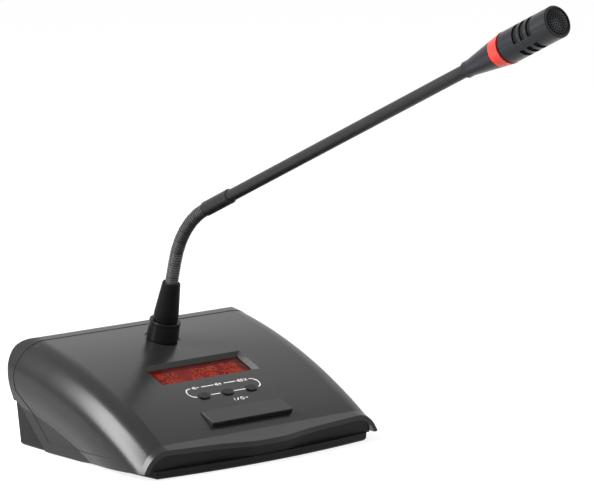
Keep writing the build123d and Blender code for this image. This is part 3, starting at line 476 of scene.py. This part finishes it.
# Marks on the shell: pad printed in white. A loop round the keys' row, at the keys a loudspeaker
# with a minus, with a plus, and with waves and a cross, and over the speak bar a line, a stroke,
# a ring and a dash. Their places are millimetres across and up the slope from the controls' middle.
control_y = -42 * mm
control_turn = slope_turn(control_y)
ray_start = 10 * mm
ray_reach = 11 * mm
ink_low = 0.03 * mm
ink_high = 0.07 * mm
loop_line = 0.62
loop_step = 0.6
sign_line = 0.5
sign_step = 0.4
same_place = 1e-6
least_cosine = 0.5
shell_mesh = bmesh.new()
shell_mesh.from_mesh(nodes["top_shell"].data)
shell_mesh.transform(nodes["top_shell"].matrix_world)
shell_skin = BVHTree.FromBMesh(shell_mesh)
shell_mesh.free()


def on_shell(x, up, lift):
    """A point at some lift over the shell's skin, or over its arc where a slot has no skin."""
    out = leaning(control_turn - up * mm / slope_radius)
    start = Vector((x * mm, 0, 0)) + slope_middle + out * (slope_radius + ray_start)
    hit = shell_skin.ray_cast(start, -out, ray_reach)[0]
    if hit is None:
        hit = start - out * ray_start
    return hit + out * lift


def skinned(shape, rings, closed):
    """Faces between rings of corners in turn, with a face over each end of an open row."""
    pairs = list(zip(rings, rings[1:] + rings[:1]))
    if not closed:
        pairs.pop()
        shape.faces.new(rings[0][::-1])
        shape.faces.new(rings[-1])
    for first, second in pairs:
        for k in range(len(first)):
            after = (k + 1) % len(first)
            shape.faces.new((first[k], first[after], second[after], second[k]))


def printed(name, strokes, width, step):
    """Thin closed strips of ink along lines on the shell."""
    shape = bmesh.new()
    for stroke in strokes:
        bends = [Vector(bend) for bend in stroke]
        points = bends[:1]
        for start, end in zip(bends, bends[1:]):
            count = max(1, math.ceil((end - start).length / step))
            points += [start.lerp(end, k / count) for k in range(1, count + 1)]
        closed = (points[0] - points[-1]).length < same_place
        if closed:
            points.pop()
        rings = []
        for k, point in enumerate(points):
            ways = []
            if closed or k > 0:
                ways.append((point - points[k - 1]).normalized())
            if closed or k < len(points) - 1:
                ways.append((points[(k + 1) % len(points)] - point).normalized())
            way = sum(ways, Vector((0, 0))).normalized()
            reach = width / 2 / max(least_cosine, way.dot(ways[0]))
            side = Vector((-way.y, way.x)) * reach
            corners = ((-1, ink_low), (1, ink_low), (1, ink_high), (-1, ink_high))
            rings.append([
                shape.verts.new(on_shell(*(point + side * hand), lift)) for hand, lift in corners
            ])
        skinned(shape, rings, closed)
    bmesh.ops.recalc_face_normals(shape, faces=shape.faces)
    return placed(name, shape)


def bow(x, up, radius, start, end, count=14):
    """Points round part of a circle, from one angle to another in degrees."""
    turns = [math.radians(start + (end - start) * k / count) for k in range(count + 1)]
    return [(x + radius * math.cos(turn), up + radius * math.sin(turn)) for turn in turns]


sign_half = 1.1
speaker_half = 0.45
speaker_box = 0.7
speaker_length = 1.6


def speaker(x, up):
    """A loudspeaker's outline, from the middle of its rear: a small box with a cone."""
    return [(x, up - speaker_half), (x + speaker_box, up - speaker_half),
            (x + speaker_length, up - sign_half), (x + speaker_length, up + sign_half),
            (x + speaker_box, up + speaker_half), (x, up + speaker_half), (x, up - speaker_half)]


loop_top = 21.5
loop_low = 13.0
loop_middle = (loop_top + loop_low) / 2
loop_radius = (loop_top - loop_low) / 2
loop_end_x = 23.7
loop = [
    [(-14.3, loop_top), (-4.6, loop_top)],
    [(3.4, loop_top), (12.4, loop_top)],
    bow(loop_end_x, loop_middle, loop_radius, 96, -78),
    [(14.0, loop_low), (5.0, loop_low)],
    [(-5.6, loop_low), (-12.9, loop_low)],
    bow(-loop_end_x, loop_middle, loop_radius, 80, 272),
]
sign_low = loop_top - sign_half
sign_high = loop_top + sign_half
bar_sign_low = 4.3
bar_sign_high = 6.6
bar_sign_middle = (bar_sign_low + bar_sign_high) / 2
bar_sign_radius = (bar_sign_high - bar_sign_low) / 2
wave_radius = 0.9
signs = [
    speaker(-20.9, loop_top),
    [(-18.3, loop_top), (-16.2, loop_top)],
    speaker(-3.2, loop_top),
    [(-0.7, loop_top), (1.5, loop_top)],
    [(0.4, sign_low), (0.4, sign_high)],
    speaker(14.2, loop_top),
    bow(16.2, loop_top, wave_radius, -50, 50, 6),
    bow(16.2, loop_top, 2 * wave_radius, -50, 50, 8),
    [(19.4, sign_low), (21.6, sign_high)],
    [(19.4, sign_high), (21.6, sign_low)],
    [(0.2, bar_sign_low), (0.2, bar_sign_high)],
    [(2.0, bar_sign_low), (3.6, bar_sign_high)],
    bow(6.2, bar_sign_middle, bar_sign_radius, 0, 360, 20),
    [(8.6, bar_sign_middle), (10.6, bar_sign_middle)],
]
ink_white = moulded("ink_white", (0.74, 0.74, 0.72), 0.5, 3000, 0.00001)
print_loop = printed("print_loop", loop, loop_line, loop_step)
print_signs = printed("print_signs", signs, sign_line, sign_step)
for marks in (print_loop, print_signs):
    marks.data.materials.append(ink_white)
    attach(marks, "base")

# Plug and lock collar: the plug's housing is turned aluminium, black anodised, and the collar
# round its flange is moulded in satin black nylon.
anodised = metal(
    "anodised", (0.055, 0.055, 0.058), 0.34, grain=2200, depth=0.000006, metallic=0.75
)
collar_black = moulded(
    "collar_black", (0.0045, 0.0045, 0.0045), 0.36, 2600, 0.00002, specular=0.12
)
dress(anodised, "plug_housing")
dress(collar_black, "lock_collar")

# Boot: a tapered sleeve of soft black rubber with a dull skin, pulled over the plug's stub and
# the foot of the gooseneck.
boot_rubber = moulded(
    "boot_rubber", (0.0040, 0.0040, 0.0040), 0.42, 1900, 0.00003, specular=0.06
)
dress(boot_rubber, "boot")

# Gooseneck: steel wire wound into a ribbed tube and lacquered black, its foot held in the plug
# and its end in the ferrule.
neck_black = moulded("neck_black", (0.040, 0.040, 0.040), 0.30, 1500, 0.00003, specular=0.5)
dress(neck_black, "neck_root", *[f"neck_link_{k}" for k in range(1, 8)])

# Ferrule and arm tube: drawn steel tube in satin dark lacquer, the ferrule pressed over the
# tube's foot and joined to the gooseneck's last link.
tube_grey = moulded(
    "tube_grey", (0.0140, 0.0140, 0.0150), 0.36, 2600, 0.00001, mottle=0.08, specular=0.15
)
dress(tube_grey, "ferrule", "arm_tube")

# Head cone, capsule housing and grille: aluminium turned and slotted, and a pierced steel disc
# domed a little, all in black satin lacquer. The grille sits behind the lip of the housing's end.
head_black = moulded(
    "head_black", (0.0100, 0.0110, 0.0140), 0.26, 2600, 0.00001, mottle=0.08, specular=0.2
)
dress(head_black, "head_cone", "capsule_housing", "grille")

# Light ring: coral red acrylic between cone and housing, with a faint glow. Clear lamps on the
# small board inside it light it.
ring_red = glowing("ring_red", (0.66, 0.030, 0.020), (0.74, 0.046, 0.031), 0.12, 200, 0.25, 0.2)
lamp_clear = glowing("lamp_clear", (0.75, 0.55, 0.50), (0.85, 0.62, 0.56), 0.3, 400)
dress(ring_red, "light_ring")
dress(lamp_clear, "lamps")

# Spine and capsule: bare drawn and turned aluminium inside the head, the spine pressed into
# cone and housing, and the capsule held by its rubber.
bare_metal = metal("bare_metal", (0.72, 0.72, 0.74), 0.3, grain=1200)
dress(bare_metal, "head_spine", "capsule")

# Capsule holder and foam disc: a soft black rubber ring round the capsule, and open foam
# between the capsule and the grille.
holder_rubber = moulded("holder_rubber", (0.020, 0.020, 0.020), 0.7, 3000, 0.00003)
foam_black = moulded("foam_black", (0.010, 0.010, 0.010), 0.9, 1400, 0.0004)
dress(holder_rubber, "capsule_holder")
dress(foam_black, "foam_disc")

# Slot shade sleeve: a thin sheet inside the housing behind its slots, whose near black is painted
# shade. It stands in for the shade inside the head, so that no light shows through the slots.
arm_joint = next(joint for joint in frame["joints"] if joint["child"] == "mic_arm")
arm_lean = math.radians(65)
arm_place = leaned(Vector(arm_joint["pos_m"]), arm_lean)
shade_sleeve_outer = 8.50 * mm
shade_sleeve_inner = 8.38 * mm
shade_sleeve_foot = 301.8 * mm
shade_sleeve_end = 319.1 * mm
shade_sleeve_sides = 64
shade_sleeve_mesh = bmesh.new()
hoops = []
for radius, along in ((shade_sleeve_outer, shade_sleeve_foot), (shade_sleeve_outer, shade_sleeve_end),
                      (shade_sleeve_inner, shade_sleeve_end), (shade_sleeve_inner, shade_sleeve_foot)):
    hoop = []
    for k in range(shade_sleeve_sides):
        turn = math.tau * k / shade_sleeve_sides
        spot = Vector((radius * math.cos(turn), radius * math.sin(turn), along))
        hoop.append(shade_sleeve_mesh.verts.new(arm_place @ spot))
    hoops.append(hoop)
skinned(shade_sleeve_mesh, hoops, closed=True)
bmesh.ops.recalc_face_normals(shade_sleeve_mesh, faces=shade_sleeve_mesh.faces)
# The sleeve and its near black finish are painted shade inside the head's slots.
slot_shade_sleeve = placed("slot_shade_sleeve", shade_sleeve_mesh)
shade_sleeve_black = moulded("shade_sleeve_black", (0.009, 0.009, 0.009), 0.85, 2800, 0.00012, specular=0.1)
slot_shade_sleeve.data.materials.append(shade_sleeve_black)
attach(slot_shade_sleeve, "mic_arm")
